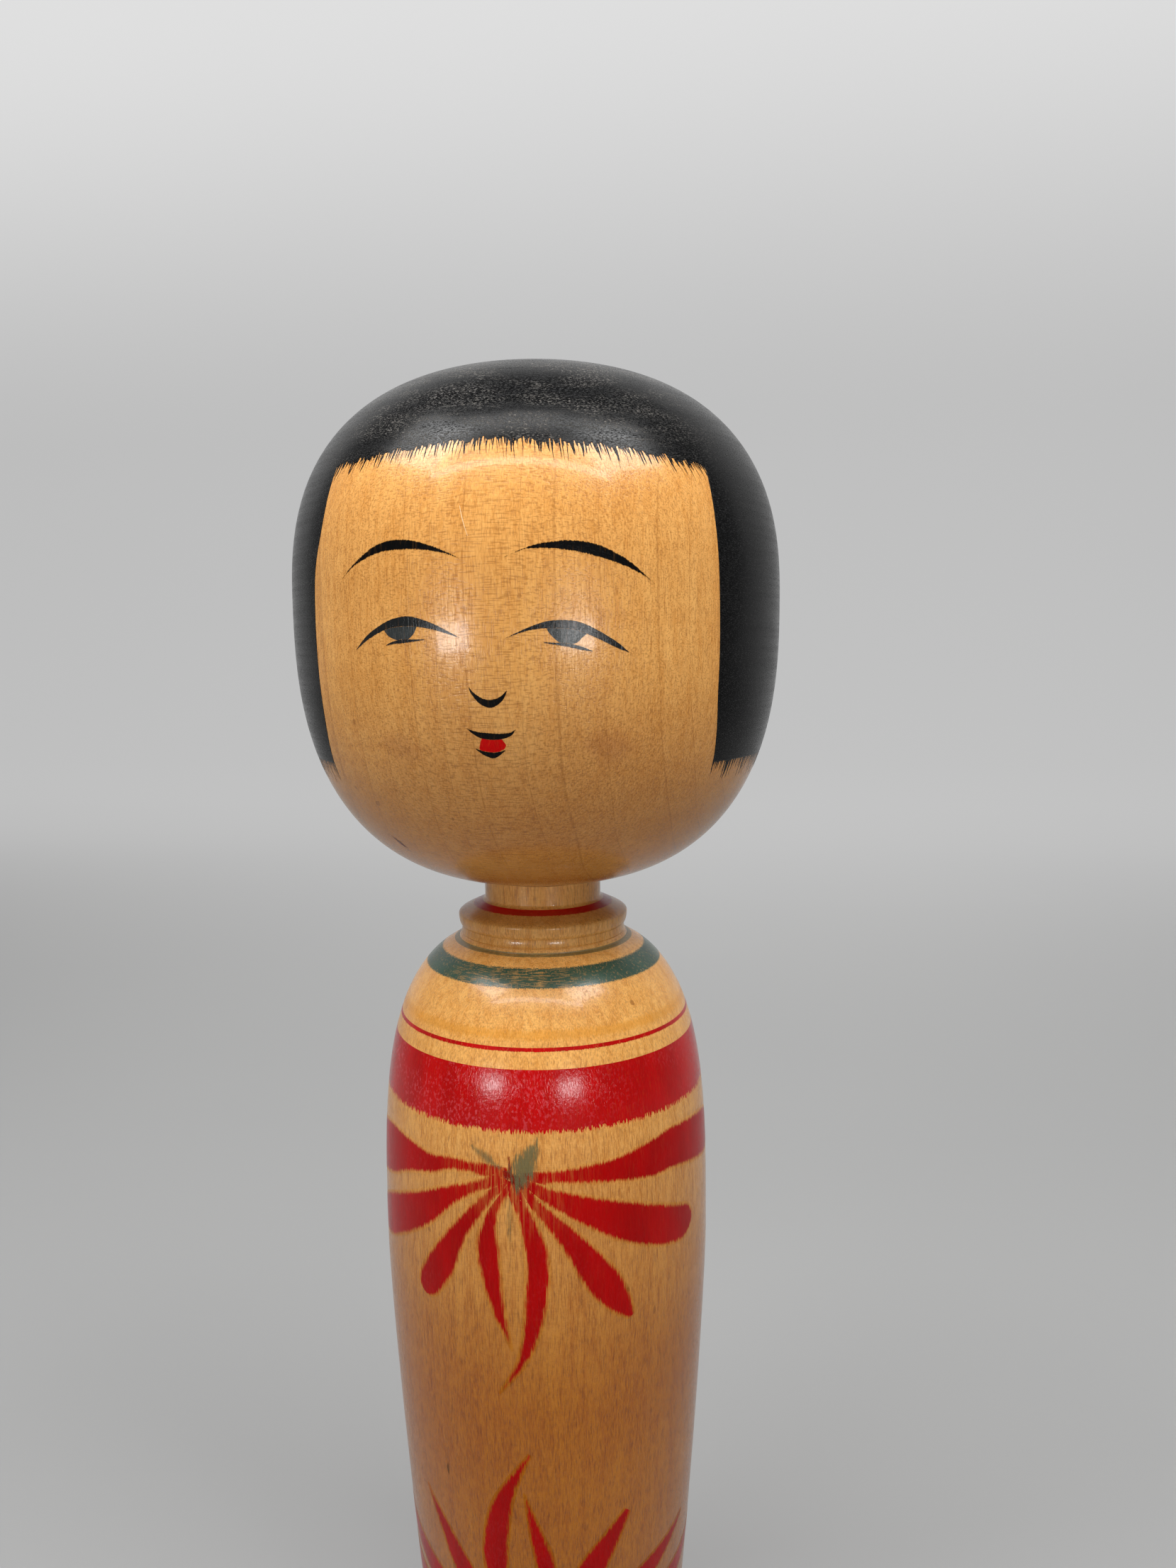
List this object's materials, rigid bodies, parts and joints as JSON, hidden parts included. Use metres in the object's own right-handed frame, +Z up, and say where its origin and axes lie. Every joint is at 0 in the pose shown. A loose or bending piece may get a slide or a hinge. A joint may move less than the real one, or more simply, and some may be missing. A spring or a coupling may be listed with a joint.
{
  "type": "kokeshi doll",
  "caption": "Turned wooden kokeshi doll: round painted head on a plug that lets it turn, slim neck with a collar bead, and a gently tapering body with a flat foot.",
  "frame": {"origin": "middle of the flat foot that the doll stands on", "axes": "+Z up along the turning axis of body and head; the painted face looks along -Y"},
  "size_m": [0.0812, 0.0812, 0.2397],
  "materials": {
    "body_wood": "waxed",
    "head_wood": "waxed"
  },
  "bodies": {
    "body": {"body": "body_wood"},
    "head": {"head": "head_wood"}
  },
  "joints": [
    {"name": "head_turn", "type": "hinge", "parent": "body", "child": "head", "pos_m": [0, 0, 0.155], "axis": [0, 0, 1], "continuous": true}
  ]
}
